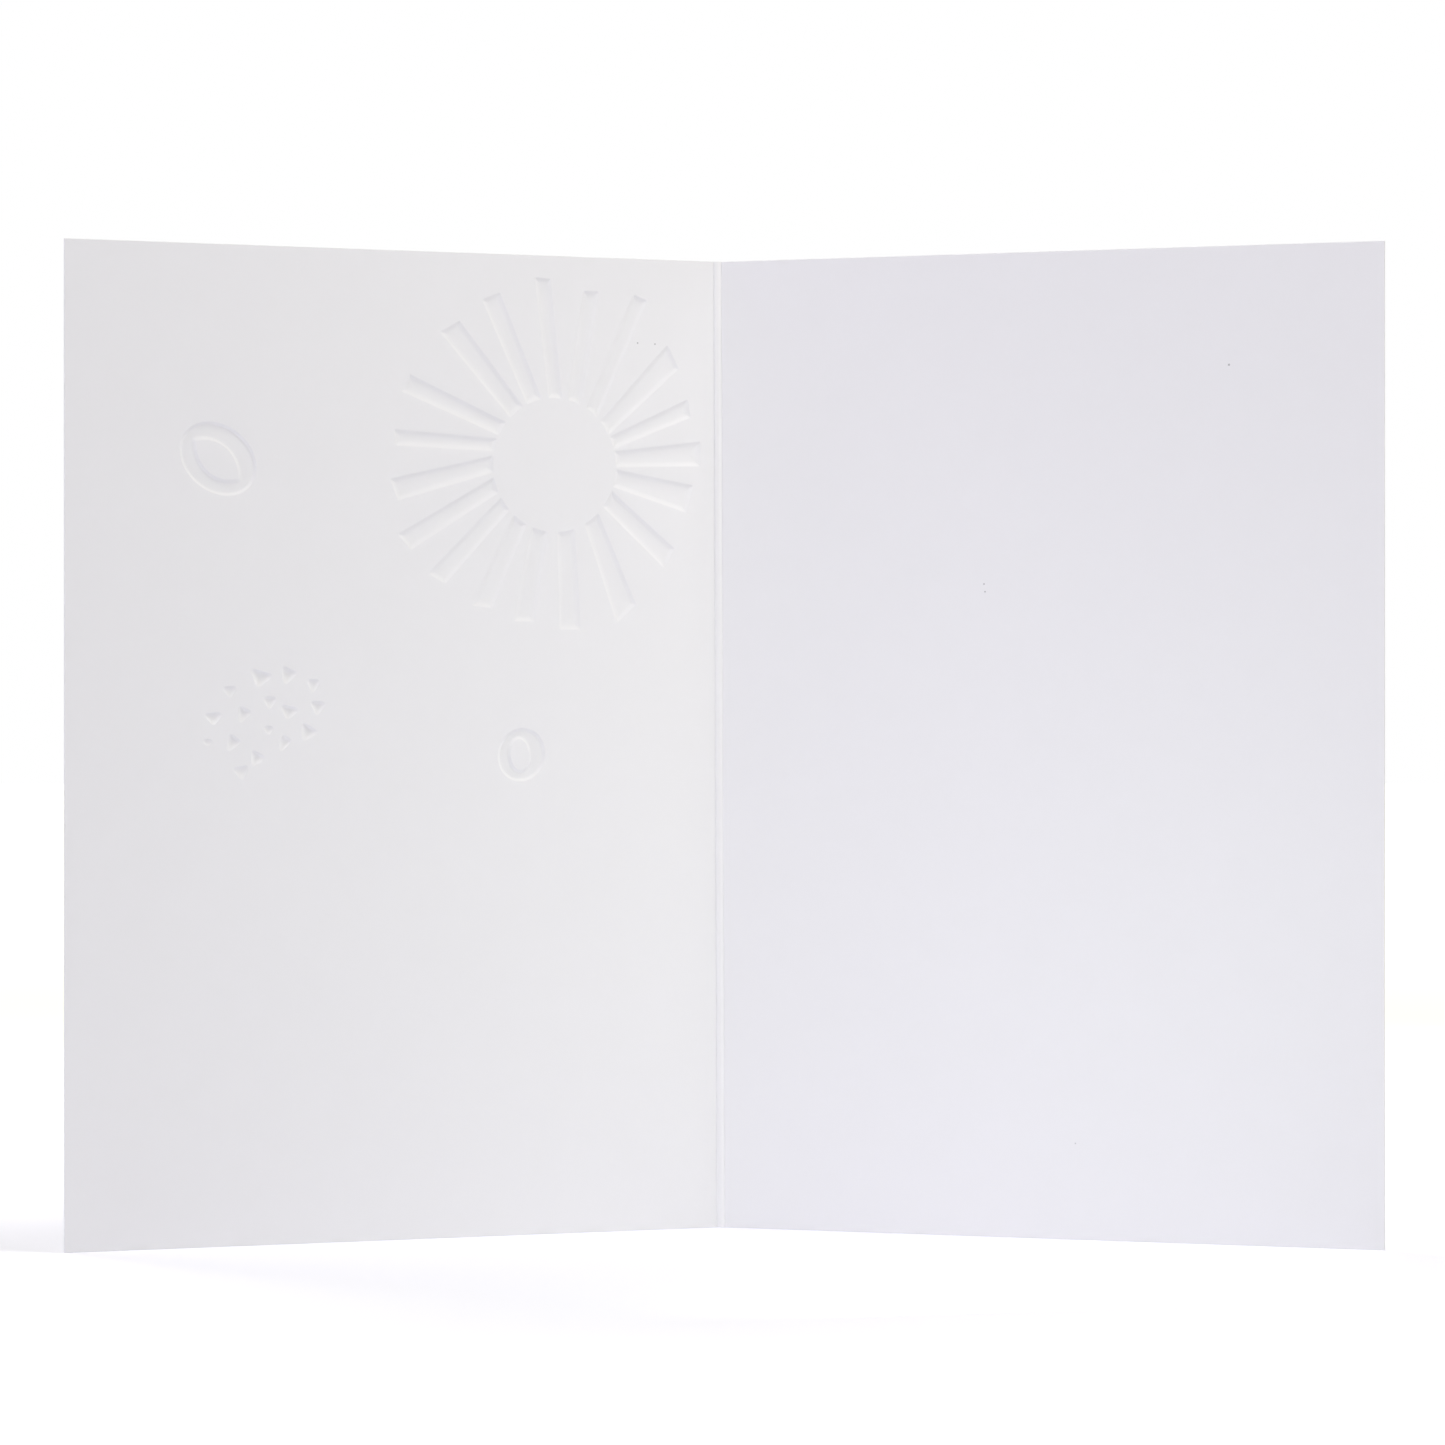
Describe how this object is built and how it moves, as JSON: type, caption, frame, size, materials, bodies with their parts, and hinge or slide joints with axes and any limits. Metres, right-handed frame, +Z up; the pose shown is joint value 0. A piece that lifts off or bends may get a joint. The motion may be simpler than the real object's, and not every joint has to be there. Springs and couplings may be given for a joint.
{
  "type": "greeting card",
  "caption": "Folded blank greeting card standing open on its bottom edge, with a blind-embossed sun, rings and pips in its front panel.",
  "frame": {"origin": "foot of the fold on the bottom edge, where the two inside faces of the panels would meet", "axes": "+Z up the fold, the inside of the card faces -Y, and +X runs across the opened card towards the blank back panel, so the front panel with the relief is on the -X side"},
  "size_m": [0.2322, 0.0522, 0.1778],
  "materials": {
    "card_stock": "matte, uncoated"
  },
  "bodies": {
    "root": {"folded_card": "card_stock"}
  },
  "joints": []
}
